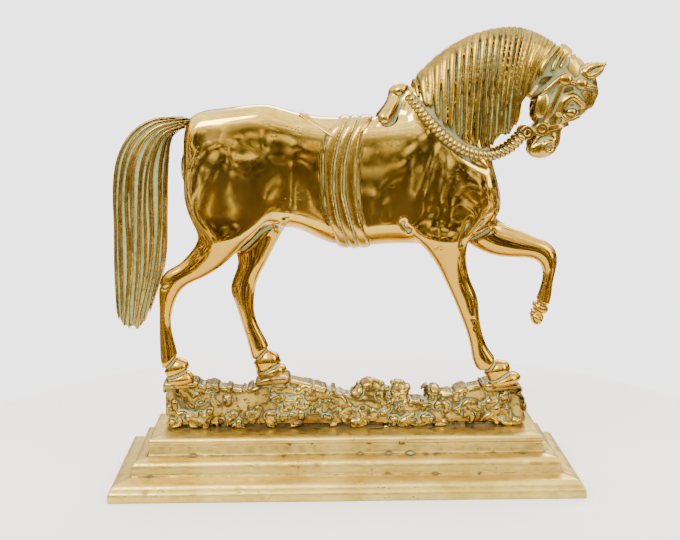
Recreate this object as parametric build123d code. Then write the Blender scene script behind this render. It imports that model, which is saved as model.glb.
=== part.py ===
from build123d import *
import os

# Brass horse on a stepped plinth, millimetres, +Z up.
# Origin: centre of the plinth's flat underside.  The horse faces +X, its near side faces -Y.

# ---- driving dimensions -------------------------------------------------------------------
plinth_length = 254.0          # bottom step, left to right
plinth_depth = 88.0            # bottom step, front to back
step_insets = (0.0, 11.5, 25.5)
step_tops = (9.0, 18.3, 28.8)
plinth_wall = 4.0
ground_thickness = 16.0
ground_base = step_tops[2]
near = -1                      # sign of Y on the horse's near side
off = 1
barrel_half_width = 19.0       # widest part of the torso, centre plane to skin
strap_thickness = 1.1
mane_thickness = 2.3
pin_radius = 1.5
stud_radius = 2.5
stud_places = (-72.0, 70.0)

# Torso in upright cuts: place along the back, spine height, belly height, half width as a
# share of the barrel's half width.
torso_cuts = (
    (-88.3, 179.0, 168.0, 0.20),
    (-86.0, 191.0, 158.0, 0.46),
    (-80.0, 201.8, 148.0, 0.74),
    (-70.0, 204.2, 143.0, 0.90),
    (-55.0, 206.0, 141.0, 0.97),
    (-42.0, 206.8, 140.5, 0.98),
    (-28.0, 203.3, 140.0, 0.95),
    (-12.0, 200.6, 133.5, 0.98),
    (5.0, 200.5, 130.0, 1.00),
    (22.0, 201.0, 131.3, 0.98),
    (40.0, 203.0, 131.0, 0.95),
    (56.0, 199.0, 133.0, 0.90),
    (70.0, 190.0, 137.0, 0.78),
    (78.0, 178.0, 141.0, 0.58),
    (82.5, 165.0, 145.0, 0.34),
    (84.6, 158.0, 149.0, 0.12),
)

# A bar is one cut across a limb in side view: edge point ahead (x, z), edge point behind
# (x, z), half thickness, and how far the cut's centre stands off the centre plane.
neck_bars = (
    ((76.0, 160.0), (26.0, 196.0), 15.5, 0.0),
    ((79.5, 175.0), (33.5, 211.0), 13.5, 0.0),
    ((78.5, 184.0), (43.0, 222.5), 12.0, 0.0),
    ((80.0, 191.0), (55.0, 232.5), 10.8, 0.0),
    ((84.5, 198.0), (68.0, 239.5), 10.0, 0.0),
    ((90.0, 205.0), (82.0, 243.0), 9.3, 0.0),
    ((96.5, 211.0), (95.5, 241.8), 8.6, 0.0),
    ((102.5, 213.0), (107.0, 237.2), 8.1, 0.0),
    ((107.0, 214.5), (119.0, 231.0), 7.8, 0.0),
)
head_bars = (
    ((107.0, 214.5), (119.0, 231.0), 7.8, 0.0),
    ((101.5, 208.5), (129.0, 227.0), 8.2, 0.0),
    ((99.2, 202.5), (134.0, 217.0), 8.6, 0.0),
    ((100.4, 198.0), (132.8, 207.8), 7.9, 0.0),
    ((102.6, 194.8), (126.5, 200.0), 6.6, 0.0),
    ((100.5, 191.0), (118.8, 195.5), 5.5, 0.0),
    ((98.0, 186.5), (116.5, 189.0), 5.6, 0.0),
    ((99.0, 181.0), (113.5, 182.5), 5.4, 0.0),
    ((101.5, 178.0), (109.0, 178.3), 3.6, 0.0),
)
tail_bars = (
    ((-80.0, 195.2), (-76.5, 202.0), 3.4, 0.0),
    ((-88.5, 193.0), (-89.0, 200.8), 4.8, 0.0),
    ((-93.0, 187.5), (-103.0, 199.4), 5.8, 0.0),
    ((-94.2, 179.0), (-114.5, 191.8), 6.4, 0.0),
    ((-94.8, 168.0), (-122.5, 178.0), 6.8, 0.0),
    ((-95.2, 154.0), (-125.8, 158.0), 6.8, 0.0),
    ((-95.8, 136.0), (-125.8, 136.0), 6.4, 0.0),
    ((-98.5, 118.0), (-126.0, 115.0), 5.8, 0.0),
    ((-105.0, 101.0), (-125.8, 99.0), 5.0, 0.0),
    ((-108.3, 91.5), (-125.2, 90.0), 4.0, 0.0),
    ((-111.8, 84.6), (-122.0, 85.4), 2.4, 0.0),
)
near_hind_bars = (
    ((-52.0, 190.0), (-70.0, 190.0), 3.6, -10.0),
    ((-38.0, 178.0), (-82.0, 180.0), 7.0, -12.4),
    ((-33.0, 161.0), (-87.2, 162.0), 7.4, -12.6),
    ((-42.0, 146.0), (-83.0, 147.0), 7.8, -10.6),
    ((-55.0, 131.5), (-79.3, 137.0), 6.8, -8.2),
    ((-67.0, 120.0), (-82.5, 130.0), 5.6, -6.6),
    ((-80.0, 112.3), (-92.0, 120.8), 4.8, -6.0),
    ((-89.5, 106.5), (-100.3, 113.2), 4.6, -5.6),
    ((-93.3, 99.0), (-101.6, 102.5), 4.3, -5.2),
    ((-95.0, 88.0), (-102.1, 89.0), 3.8, -5.0),
    ((-93.2, 78.5), (-102.6, 78.5), 3.8, -5.0),
    ((-92.0, 70.5), (-102.4, 68.5), 4.3, -5.0),
    ((-93.0, 66.5), (-100.6, 60.5), 3.8, -5.0),
)
off_hind_bars = (
    ((-48.0, 188.0), (-66.0, 188.0), 3.6, 10.0),
    ((-34.0, 176.0), (-80.0, 178.0), 7.0, 12.4),
    ((-29.5, 160.0), (-78.0, 161.0), 7.4, 12.6),
    ((-29.5, 145.0), (-70.0, 145.0), 7.8, 10.6),
    ((-37.0, 131.5), (-64.0, 130.0), 6.8, 8.2),
    ((-43.5, 119.0), (-59.3, 119.5), 5.6, 6.6),
    ((-48.3, 109.5), (-63.8, 106.5), 4.8, 6.0),
    ((-50.0, 100.0), (-62.0, 99.0), 4.5, 5.6),
    ((-49.6, 90.5), (-58.9, 89.0), 3.9, 5.2),
    ((-46.2, 81.5), (-56.2, 79.5), 3.8, 5.0),
    ((-42.3, 72.5), (-53.5, 69.5), 4.3, 5.0),
    ((-43.0, 69.5), (-51.5, 63.0), 3.8, 5.0),
)
near_fore_bars = (
    ((69.0, 160.0), (52.0, 158.0), 3.6, -10.0),
    ((73.5, 150.0), (41.0, 148.0), 6.8, -11.4),
    ((70.5, 139.5), (36.5, 137.0), 7.2, -10.4),
    ((66.2, 130.0), (43.0, 129.0), 6.8, -8.4),
    ((66.3, 121.5), (49.0, 120.5), 6.0, -6.8),
    ((68.8, 111.5), (54.2, 110.5), 5.0, -6.0),
    ((72.8, 101.5), (59.2, 100.0), 4.7, -5.5),
    ((73.6, 92.0), (63.4, 90.5), 4.4, -5.2),
    ((76.2, 79.5), (67.9, 78.5), 3.8, -5.0),
    ((79.4, 72.8), (69.5, 70.3), 3.8, -5.0),
    ((82.8, 68.3), (71.0, 64.2), 4.3, -5.0),
    ((83.2, 65.0), (74.2, 59.8), 3.8, -5.0),
)
off_fore_bars = (
    ((74.0, 160.0), (58.0, 146.0), 3.8, 9.0),
    ((81.5, 150.0), (61.0, 135.5), 6.6, 9.0),
    ((88.0, 141.0), (72.5, 127.0), 6.6, 7.8),
    ((98.5, 136.5), (86.0, 122.5), 6.0, 6.8),
    ((108.0, 132.4), (98.0, 121.8), 5.4, 6.2),
    ((114.8, 128.8), (104.5, 121.0), 5.1, 6.0),
    ((118.0, 121.8), (108.8, 118.0), 4.9, 5.8),
    ((117.3, 114.0), (110.0, 112.8), 4.3, 5.6),
    ((116.0, 105.0), (108.8, 105.5), 3.8, 5.4),
    ((115.2, 98.3), (107.4, 101.0), 4.0, 5.2),
    ((113.8, 94.6), (107.8, 97.5), 3.5, 5.2),
)

# Hooves: rounded lumps as (x, z, half length, half height, half width, tilt in degrees).
near_hind_lumps = ((-92.6, 63.0, 7.0, 5.2, 5.2, 25.0), (-91.2, 57.2, 8.0, 4.4, 5.8, 5.0))
off_hind_lumps = ((-43.6, 64.0, 7.2, 5.2, 5.2, 25.0), (-41.5, 60.2, 8.2, 3.8, 5.8, 5.0))
near_fore_lumps = ((84.4, 60.6, 7.0, 4.6, 5.2, 22.0), (88.2, 54.8, 9.2, 4.2, 5.8, 12.0))
off_fore_lumps = ((108.9, 93.8, 5.4, 3.9, 5.4, -20.0), (107.3, 88.6, 3.9, 5.8, 4.8, 10.0))

# Ground casting in side view, heel end to toe end, up over the humps.
ground_ridge = (
    (-101.0, 55.0), (-92.0, 55.0), (-80.0, 54.5), (-66.0, 53.4), (-52.0, 53.0),
    (-45.0, 56.5), (-38.0, 58.2), (-31.0, 57.8), (-20.0, 55.0), (-8.0, 51.0), (4.0, 48.0),
    (30.0, 44.0), (44.0, 44.5), (56.0, 47.8), (66.0, 51.5), (76.0, 53.6), (86.0, 52.0), (97.5, 51.5),
)
ground_heel = (-102.0, ground_base)
ground_toe = (103.5, ground_base)
stones = ((14.5, 48.0, 9.4, 9.0), (30.2, 48.0, 6.6, 8.0), (48.2, 46.6, 6.4, 6.0))

# Mane's free edge in side view: hairline behind the ear, then the ends of the locks.  The crest
# itself comes from the blanket, so the outline passes well clear of it.
mane_back = ((31.0, 218.0), (24.0, 262.0), (136.0, 262.0))
mane_front = ((136.0, 240.0), (126.0, 227.6), (118.0, 225.5), (112.0, 223.5), (104.0, 222.0), (99.5, 217.0), (97.0, 211.5), (93.2, 208.0))
lock_ends = (
    (91.8, 196.0), (89.6, 192.5), (86.6, 189.5), (82.0, 190.0), (77.5, 183.6), (71.5, 184.4),
    (65.0, 186.0), (58.6, 189.6), (53.0, 194.4), (48.0, 200.0), (42.5, 206.0), (37.5, 211.5),
)
mane_bars = (
    ((78.0, 158.0), (24.0, 198.0), 17.8, 0.0),
    ((82.0, 173.0), (31.5, 213.0), 15.8, 0.0),
    ((84.0, 178.0), (41.0, 225.2), 14.3, 0.0),
    ((88.0, 181.0), (53.5, 236.0), 13.2, 0.0),
    ((93.0, 185.0), (67.0, 243.4), 12.4, 0.0),
    ((96.5, 192.0), (81.5, 247.2), 11.8, 0.0),
    ((100.0, 201.0), (97.0, 246.4), 11.0, 0.0),
    ((101.5, 206.0), (108.5, 241.0), 10.5, 0.0),
    ((104.7, 211.242), (120.6, 233.767), 10.2, 0.0),
)

# Rein centre line from saddle to bit as (x, z, distance from the centre plane).
rein_path = (
    (33.0, 212.0, 11.8), (41.5, 201.0, 15.6), (52.0, 190.0, 16.4), (62.0, 183.4, 14.6),
    (72.0, 180.2, 11.6), (80.0, 180.0, 8.0), (88.0, 183.4, 6.4), (95.0, 189.8, 6.2),
)
rein_radius = 2.2

# Pins across the joints between castings: centre of the pin and its direction.
joint_pin_places = (
    ((-60.0, -5.4, 168.0), (0, 1, 0)),
    ((-54.0, 5.4, 166.0), (0, 1, 0)),
    ((57.0, -5.0, 148.0), (0, 1, 0)),
    ((70.0, 3.4, 145.0), (0, 1, 0)),
    ((-82.0, 0.0, 198.0), (1, 0, 0)),
    ((113.0, 0.0, 222.8), (0.81, 0, -0.59)),
)
joint_pin_length = 9.0
hoof_pin_places = ((-91.0, -4.0, 55.0), (-42.0, 4.0, 58.0), (87.0, -4.0, 53.0))
hoof_pin_length = 9.0

# Fixings that hold the ground casting down on the plinth.
stud_bottom = 18.0
stud_top = 41.0
washer_radius = 6.0
washer_height = 1.0
nut_flat_radius = 4.0
nut_height = 4.0

# Tack bands in side view: centre x, centre z, length, width, tilt (front end up, degrees).
girth_bands = ((-5.2, 166.0, 90.0, 4.6, 88.0), (1.4, 166.0, 90.0, 4.6, 88.0), (8.0, 166.0, 90.0, 4.6, 88.0))
crupper_band = (-15.0, 196.8, 21.0, 2.4, -33.0)
saddle_band = (26.0, 205.5, 17.0, 6.4, 57.0)
saddle_knob = (29.6, 213.4, 5.2, 5.0, 8.4)
# Noseband as a bar with a width; brow band and throat lash as cords from the near side to
# the centre plane (x, z, distance from the centre plane), mirrored on the off side.
noseband = (((100.2, 191.6), (119.4, 196.2), 5.7, 0.0), 2.8)
brow_cord = ((113.0, 220.0, 8.6), (124.0, 217.0, 9.0), (131.5, 215.4, 6.4), (134.8, 214.6, 0.0))
throat_cord = ((116.5, 223.0, 8.2), (109.5, 217.0, 9.0), (103.0, 211.0, 6.6), (100.6, 209.0, 0.0))
cord_radius = 1.0
cheek_band = (110.4, 206.4, 26.5, 2.2, 69.0)
rosettes = ((116.4, 219.6, 3.8, 3.1), (124.8, 217.2, 3.4, 3.0))
rosette_stand_off = 8.7
bit_rings = ((105.0, 193.4, 2.4), (97.2, 191.6, 2.6))
bit_side = 6.4
bit_wire = 0.95
bit_bar = 0.75


# ---- helpers ------------------------------------------------------------------------------
def oval(half_length, half_width):
    """Ellipse whose seam always lies on its own +X side, so cuts never twist against each other."""
    return scale(Circle(1.0), by=(half_length, half_width, 1.0))


def bar_face(bar, grow=0.0):
    """Oval cut whose long axis joins the two edge points of a bar in side view."""
    (ahead_x, ahead_z), (behind_x, behind_z), half_thick, centre_y = bar
    span = Vector(ahead_x - behind_x, 0, ahead_z - behind_z)
    middle = ((ahead_x + behind_x) / 2, centre_y, (ahead_z + behind_z) / 2)
    cut = Plane(origin=middle, x_dir=span, z_dir=span.cross(Vector(0, 1, 0)))
    return cut * oval(span.length / 2 + grow, half_thick + grow)


def limb(bars, grow=0.0):
    return loft([bar_face(bar, grow) for bar in bars])


def lump(x, y, z, half_length, half_height, half_width, tilt=0.0):
    """Egg shape: a ball stretched along three axes and tilted in side view."""
    ball = scale(Sphere(1.0), by=(half_length, half_width, half_height))
    return Pos(x, y, z) * Rot(0, -tilt, 0) * ball


def side_point(x, z):
    return (x, 0, z)


def boss(x, y, z, half_length, half_height, half_width):
    """Egg shape with its poles to the sides and its seam on top, away from any cut below."""
    ball = Rot(0, -90, 0) * Rot(90, 0, 0) * Sphere(1.0)
    return Pos(x, y, z) * scale(ball, by=(half_length, half_width, half_height))


def spline(points):
    return Spline([side_point(x, z) for x, z in points])


def slab(x, z, length, height, tilt):
    """Board passing right through the horse, seen end on in side view."""
    return Pos(x, 0, z) * Rot(0, -tilt, 0) * Box(length, 90, height)


def pin(place, direction, radius, length):
    axis = Plane(origin=place, z_dir=direction)
    return axis * Cylinder(radius, length)


# ---- castings -----------------------------------------------------------------------------
def step_block(inset, bottom, top, corner, edge):
    block = Box(
        plinth_length - 2 * inset, plinth_depth - 2 * inset, top - bottom,
        align=(Align.CENTER, Align.CENTER, Align.MIN),
    )
    block = Pos(0, 0, bottom) * block
    block = fillet(block.edges().filter_by(Axis.Z), corner)
    return fillet(block.edges().group_by(Axis.Z)[-1], edge)


def cove_block():
    """Sloping foot of the top step."""
    low = step_insets[2] - 6.0
    high = step_insets[2] - 0.5
    faces = []
    for inset, height in ((low, step_tops[1]), (high, step_tops[1] + 2.2)):
        outline = RectangleRounded(plinth_length - 2 * inset, plinth_depth - 2 * inset, 2.5)
        faces.append(Pos(0, 0, height) * outline)
    return loft(faces, ruled=True)


def make_plinth():
    lower = step_block(step_insets[0], 0.0, step_tops[0], 3.0, 2.2)
    middle = step_block(step_insets[1], step_tops[0] - 1.0, step_tops[1], 3.0, 1.4)
    upper = step_block(step_insets[2], step_tops[1] - 1.0, step_tops[2], 2.5, 1.2)
    shell = lower + middle + upper + cove_block()
    for inset, top in zip(step_insets, step_tops):
        room = Box(
            plinth_length - 2 * (inset + plinth_wall), plinth_depth - 2 * (inset + plinth_wall),
            top - plinth_wall, align=(Align.CENTER, Align.CENTER, Align.MIN),
        )
        shell -= room
    return shell


def make_ground():
    ridge = spline(ground_ridge)
    start = side_point(*ground_ridge[0])
    end = side_point(*ground_ridge[-1])
    heel = side_point(*ground_heel)
    toe = side_point(*ground_toe)
    outline = make_face(ridge + Line(end, toe) + Line(toe, heel) + Line(heel, start))
    block = extrude(outline, amount=ground_thickness / 2, both=True)
    for x, z, half_length, half_height in stones:
        block += lump(x, 0, z, half_length, half_height, ground_thickness / 2 - 0.6)
    return block


def torso_face(cut, grow=0.0):
    x, spine, belly, share = cut
    plane = Plane(origin=(x, 0, (spine + belly) / 2), x_dir=(0, 0, 1), z_dir=(1, 0, 0))
    return plane * Ellipse((spine - belly) / 2 + grow, share * barrel_half_width + grow)


def make_torso():
    return loft([torso_face(cut) for cut in torso_cuts])


def make_leg(bars, lumps):
    leg = limb(bars)
    foot_y = bars[-1][3]
    for x, z, half_length, half_height, half_width, tilt in lumps:
        leg += lump(x, foot_y, z, half_length, half_height, half_width, tilt)
    return leg




def make_mane():
    """Hair blanket over both sides of the neck, ending in pointed locks."""
    blanket = limb(mane_bars)
    corners = mane_front + lock_ends + mane_back
    outline = make_face(Polyline([side_point(x, z) for x, z in corners], close=True))
    return blanket & extrude(outline, amount=25, both=True)


# ---- tack ---------------------------------------------------------------------------------
def bands_over(skin_grown, skin, bands):
    """Straps lying on a surface: the thickness of leather inside each tilted board."""
    straps = []
    for band in bands:
        straps.append((skin_grown & slab(*band)) - skin)
    return straps


def cord(points, radius):
    path = Spline(points)
    section = Plane(origin=points[0], z_dir=path % 0) * Circle(radius)
    return sweep(section, path=path)


def make_rein(side):
    return cord([(x, side * y, z) for x, z, y in rein_path], rein_radius)


def make_head_cord(half):
    """Cord round the head, the same on both sides."""
    near_half = [(x, near * y, z) for x, z, y in half]
    off_half = [(x, off * y, z) for x, z, y in half[-2::-1]]
    return cord(near_half + off_half, cord_radius)


def make_bridle(head):
    """Noseband, brow band, throat lash and the two cheek pieces, each its own strap."""
    bar, width = noseband
    nose_ring = extrude(bar_face(bar, strap_thickness), amount=width / 2, both=True) - head
    cheeks = (limb(head_bars, strap_thickness) & slab(*cheek_band)) - head - nose_ring
    brow = make_head_cord(brow_cord) - head - cheeks
    throat = make_head_cord(throat_cord) - head - cheeks - brow
    return [nose_ring, cheeks, brow, throat]


def make_rosettes():
    buttons = []
    for x, z, half_length, half_height in rosettes:
        for side in (near, off):
            buttons.append(boss(x, side * rosette_stand_off, z, half_length, half_height, 2.2))
    return buttons


def make_bit():
    """Two rings and a joining bar on each cheek, with the mouthpiece between the sides."""
    (front_x, front_z, front_radius), (rear_x, rear_z, rear_radius) = bit_rings
    mouth = Pos(front_x - front_radius, 0, front_z) * Rot(90, 0, 0) * Cylinder(bit_bar, 2 * bit_side)
    bit = mouth
    for side in (near, off):
        for x, z, radius in bit_rings:
            ring = Circle(radius + bit_wire) - Circle(radius - bit_wire)
            bit += Pos(x, side * bit_side, z) * Rot(90, 0, 0) * extrude(ring, amount=bit_wire, both=True)
        gap = front_x - front_radius - rear_x - rear_radius
        middle = (front_x - front_radius + rear_x + rear_radius) / 2
        bar = Rot(0, 90, 0) * Cylinder(bit_bar, gap + 1.6)
        bit += Pos(middle, side * bit_side, (front_z + rear_z) / 2) * bar
    return bit


# ---- fixings ------------------------------------------------------------------------------
def make_studs():
    height = stud_top - stud_bottom
    return [Pos(x, 0, (stud_top + stud_bottom) / 2) * Cylinder(stud_radius, height) for x in stud_places]


def make_washers(studs):
    z = step_tops[2] - plinth_wall - washer_height / 2
    return [Pos(x, 0, z) * Cylinder(washer_radius, washer_height) - stud for x, stud in zip(stud_places, studs)]


def make_nuts(studs):
    z = step_tops[2] - plinth_wall - washer_height - nut_height
    hexagon = RegularPolygon(nut_flat_radius, 6, major_radius=False)
    return [Pos(x, 0, z) * extrude(hexagon, amount=nut_height) - stud for x, stud in zip(stud_places, studs)]


def largest(shape):
    """The one real piece left after trimming."""
    return max(shape.solids(), key=lambda solid: solid.volume)


def save(name, shape):
    if isinstance(shape, list):
        shape = Compound(children=[solid for item in shape for solid in item.solids()])
    export_step(shape, f"parts/{name}.step")
    print(name, round(shape.volume, 1), shape.is_valid, len(shape.solids()))


def main():
    os.makedirs("parts", exist_ok=True)

    studs = make_studs()
    joint_pins = [pin(place, way, pin_radius, joint_pin_length) for place, way in joint_pin_places]
    hoof_pins = [pin(place, (0, 0, 1), pin_radius, hoof_pin_length) for place in hoof_pin_places]

    plinth = make_plinth()
    ground = make_ground()
    for stud in studs:
        plinth -= stud
        ground -= stud
    for dowel in hoof_pins:
        ground -= dowel

    legs = {
        "near_hind_leg": make_leg(near_hind_bars, near_hind_lumps),
        "off_hind_leg": make_leg(off_hind_bars, off_hind_lumps),
        "near_fore_leg": make_leg(near_fore_bars, near_fore_lumps),
        "off_fore_leg": make_leg(off_fore_bars, off_fore_lumps),
    }
    torso = make_torso()
    neck = limb(neck_bars)
    head = limb(head_bars)
    body = torso + neck
    mane = largest(make_mane() - body)
    for leg in legs.values():
        body -= leg
    tail = largest(limb(tail_bars) - body - legs["near_hind_leg"])
    bit = make_bit()

    bridle = [strap - neck - mane - bit for strap in make_bridle(head)]
    buttons = [button - head - mane for button in make_rosettes()]
    for index, strap in enumerate(bridle):
        for button in buttons:
            strap -= button
        bridle[index] = strap

    torso_grown = loft([torso_face(cut, strap_thickness) for cut in torso_cuts[4:12]])
    girths = bands_over(torso_grown, torso, girth_bands)
    crupper = bands_over(torso_grown, torso, [crupper_band])[0]
    for girth in girths:
        crupper -= girth
    neck_grown = limb(neck_bars[:4], strap_thickness + 0.4)
    withers_grown = loft([torso_face(cut, strap_thickness) for cut in torso_cuts[7:13]])
    pad = (neck_grown & slab(*saddle_band)) + (withers_grown & slab(*saddle_band))
    x, z, half_length, half_height, half_width = saddle_knob
    pad += boss(x, 0, z, half_length, half_height, half_width)
    pad = largest(pad - body - mane)

    reins = {}
    for name, side in (("near_rein", near), ("off_rein", off)):
        reins[name] = largest(make_rein(side) - body - mane - pad - bit)

    for dowel in joint_pins:
        body -= dowel
        head -= dowel
        tail -= dowel
    for name, leg in legs.items():
        leg -= ground
        for dowel in joint_pins + hoof_pins:
            leg -= dowel
        legs[name] = largest(leg)
    head = largest(head - bit)

    save("plinth", plinth)
    save("rocky_ground", ground)
    save("body", body)
    save("head", head)
    save("mane", mane)
    save("tail", tail)
    for name, leg in legs.items():
        save(name, leg)
    save("saddle_pad", pad)
    save("girth_straps", girths)
    save("crupper_strap", crupper)
    for name, rein in reins.items():
        save(name, rein)
    save("bridle_straps", bridle)
    save("bridle_rosettes", buttons)
    save("bit", bit)
    save("joint_pins", joint_pins)
    save("hoof_pins", hoof_pins)
    save("fixing_studs", studs)
    save("washers", make_washers(studs))
    save("nuts", make_nuts(studs))


if __name__ == "__main__":
    main()
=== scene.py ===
import bpy
import math
import numpy as np
import openvdb as vdb
from mathutils import Matrix, Vector


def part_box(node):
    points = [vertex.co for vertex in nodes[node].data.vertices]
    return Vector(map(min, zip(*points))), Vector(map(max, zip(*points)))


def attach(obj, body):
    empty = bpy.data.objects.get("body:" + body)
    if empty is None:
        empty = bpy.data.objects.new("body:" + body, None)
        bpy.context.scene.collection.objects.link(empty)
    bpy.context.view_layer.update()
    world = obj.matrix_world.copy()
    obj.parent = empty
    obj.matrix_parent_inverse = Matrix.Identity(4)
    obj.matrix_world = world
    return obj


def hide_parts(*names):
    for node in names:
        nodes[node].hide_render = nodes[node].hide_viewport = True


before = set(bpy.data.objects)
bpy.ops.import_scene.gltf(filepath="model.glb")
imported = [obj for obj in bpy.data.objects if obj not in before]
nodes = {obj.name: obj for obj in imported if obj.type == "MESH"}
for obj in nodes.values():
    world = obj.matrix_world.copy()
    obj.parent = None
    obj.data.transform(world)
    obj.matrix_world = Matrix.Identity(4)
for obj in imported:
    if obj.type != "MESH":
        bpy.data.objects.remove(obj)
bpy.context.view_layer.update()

# Shapes are in millimetres until their meshes are made; textures and the stage are in metres.
MM = 0.001
BODY_STEP = 0.72         # spacing of the sample grid that the big castings are sculpted on
HAIR_STEP = 0.52         # the same for the mane and the ground strip
FINE_STEP = 0.45         # the same for the head and the tail
REACH = 8.0              # how far from a surface its distance field is known
NEAR, OFF = -1, 1        # sign of Y on the horse's near side and off side


# ---- sample grids and distance fields -----------------------------------------------------
class Grid:
    """A box of evenly spaced sample points."""

    def __init__(self, low, high, step):
        self.step = step
        self.first = np.floor(np.array(low) / step).astype(int)
        self.shape = tuple(np.ceil(np.array(high) / step).astype(int) - self.first + 1)
        axes = [(self.first[i] + np.arange(self.shape[i])) * step for i in range(3)]
        self.x = axes[0][:, None, None].astype(np.float32)
        self.y = axes[1][None, :, None].astype(np.float32)
        self.z = axes[2][None, None, :].astype(np.float32)


def node_box(name):
    low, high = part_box(name)
    return np.array(low) / MM, np.array(high) / MM


def grid_round(names, step, margin=4.0):
    boxes = [node_box(name) for name in names]
    low = np.min([b[0] for b in boxes], axis=0) - margin
    high = np.max([b[1] for b in boxes], axis=0) + margin
    return Grid(low, high, step)


def corner_index(grid):
    return tuple(int(v) for v in grid.first)


def distance_to_mesh(points, triangles, grid, reach=REACH):
    """Signed distance from a closed mesh, negative inside."""
    level_set = vdb.FloatGrid.createLevelSetFromPolygons(
        points.astype(np.float32), triangles=triangles.astype(np.uint32),
        transform=vdb.createLinearTransform(grid.step), halfWidth=reach / grid.step,
    )
    field = np.empty(grid.shape, np.float32)
    level_set.copyToArray(field, ijk=corner_index(grid))
    return field


def node_field(name, grid, reach=REACH):
    mesh = nodes[name].data
    mesh.calc_loop_triangles()
    points = np.empty(len(mesh.vertices) * 3, np.float32)
    mesh.vertices.foreach_get("co", points)
    triangles = np.empty(len(mesh.loop_triangles) * 3, np.int32)
    mesh.loop_triangles.foreach_get("vertices", triangles)
    return distance_to_mesh(points.reshape(-1, 3) / MM, triangles.reshape(-1, 3), grid, reach)


def surface_of(field, grid, level=0.0):
    level_set = vdb.FloatGrid(float(REACH))
    level_set.transform = vdb.createLinearTransform(grid.step)
    level_set.copyFromArray(np.ascontiguousarray(field), ijk=corner_index(grid))
    return level_set.convertToPolygons(isovalue=level)


def soft_union(a, b, blend):
    overlap = np.maximum(blend - np.abs(a - b), 0.0) / blend
    return np.minimum(a, b) - overlap * overlap * (blend / 4)


def soft_cut(a, b, blend):
    """a with b taken away, the edge rounded."""
    return -soft_union(-a, b, blend)


def soften(field, radius, passes=2):
    """Box blur along all three axes; radius in samples."""
    for _ in range(passes):
        for axis in range(3):
            pad = [(0, 0)] * 3
            pad[axis] = (radius + 1, radius)
            total = np.cumsum(np.pad(field, pad, mode="edge"), axis=axis, dtype=np.float64)
            length = field.shape[axis]
            upper = np.take(total, range(2 * radius + 1, 2 * radius + 1 + length), axis=axis)
            lower = np.take(total, range(0, length), axis=axis)
            field = ((upper - lower) / (2 * radius + 1)).astype(np.float32)
    return field


def fillet_hollows(field, grid, radius):
    """Rolls a ball of that radius round the outside, so concave joints fill in smoothly."""
    points, triangles, quads = surface_of(field, grid, radius)
    halves = np.concatenate([quads[:, [0, 1, 2]], quads[:, [0, 2, 3]]])
    triangles = np.concatenate([triangles.reshape(-1, 3), halves])
    return distance_to_mesh(points, triangles[:, ::-1], grid) + radius


def resampled(field, grid, other):
    """The same field on another grid."""
    for axis in range(3):
        steps = other.first[axis] + np.arange(other.shape[axis])
        place = steps * other.step / grid.step - grid.first[axis]
        base = np.clip(np.floor(place).astype(int), 0, grid.shape[axis] - 2)
        along = [1, 1, 1]
        along[axis] = -1
        part = np.clip(place - base, 0, 1).reshape(along)
        field = np.take(field, base, axis) * (1 - part) + np.take(field, base + 1, axis) * part
    return field.astype(np.float32)


def ease(value, low, high):
    t = np.clip((value - low) / (high - low), 0, 1)
    return t * t * (3 - 2 * t)


# ---- simple solids as distance fields -----------------------------------------------------
def egg(grid, centre, radii, tilt=0.0):
    """Ball stretched along three axes; tilt lifts its +X end, in degrees."""
    c, s = math.cos(math.radians(tilt)), math.sin(math.radians(tilt))
    dx, dy, dz = grid.x - centre[0], grid.y - centre[1], grid.z - centre[2]
    along, across = dx * c + dz * s, dz * c - dx * s
    scaled = np.sqrt((along / radii[0]) ** 2 + (dy / radii[1]) ** 2 + (across / radii[2]) ** 2) + 1e-6
    slope = np.sqrt(
        (along / radii[0] ** 2) ** 2 + (dy / radii[1] ** 2) ** 2 + (across / radii[2] ** 2) ** 2
    ) + 1e-6
    return scaled * (scaled - 1) / slope


def rod(grid, start, end, start_radius, end_radius=None):
    """Round-ended rod between two points, tapering from one radius to the other."""
    end_radius = start_radius if end_radius is None else end_radius
    start, end = np.array(start, float), np.array(end, float)
    way = end - start
    along = (
        (grid.x - start[0]) * way[0] + (grid.y - start[1]) * way[1] + (grid.z - start[2]) * way[2]
    ) / (way @ way)
    along = np.clip(along, 0, 1)
    gap = np.sqrt(
        (grid.x - start[0] - along * way[0]) ** 2 + (grid.y - start[1] - along * way[1]) ** 2
        + (grid.z - start[2] - along * way[2]) ** 2
    )
    return gap - (start_radius + (end_radius - start_radius) * along)


def bow(grid, points, radius, end_radius=None):
    """Rod bent through several points."""
    field = None
    count = len(points) - 1
    end_radius = radius if end_radius is None else end_radius
    for i in range(count):
        r0 = radius + (end_radius - radius) * i / count
        r1 = radius + (end_radius - radius) * (i + 1) / count
        piece = rod(grid, points[i], points[i + 1], r0, r1)
        field = piece if field is None else np.minimum(field, piece)
    return field


# ---- curves and side-view relief ----------------------------------------------------------
def curve(points, count):
    """Smooth line through a few points, as count points."""
    points = np.array(points, float)
    padded = np.vstack([2 * points[0] - points[1], points, 2 * points[-1] - points[-2]])
    places = np.linspace(0, len(points) - 1, count)
    result = []
    for place in places:
        i = min(int(place), len(points) - 2)
        t = place - i
        a, b, c, d = padded[i:i + 4]
        result.append(0.5 * (2 * b + (c - a) * t + (2 * a - 5 * b + 4 * c - d) * t ** 2
                             + (3 * b - a - 3 * c + d) * t ** 3))
    return np.array(result)


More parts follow.
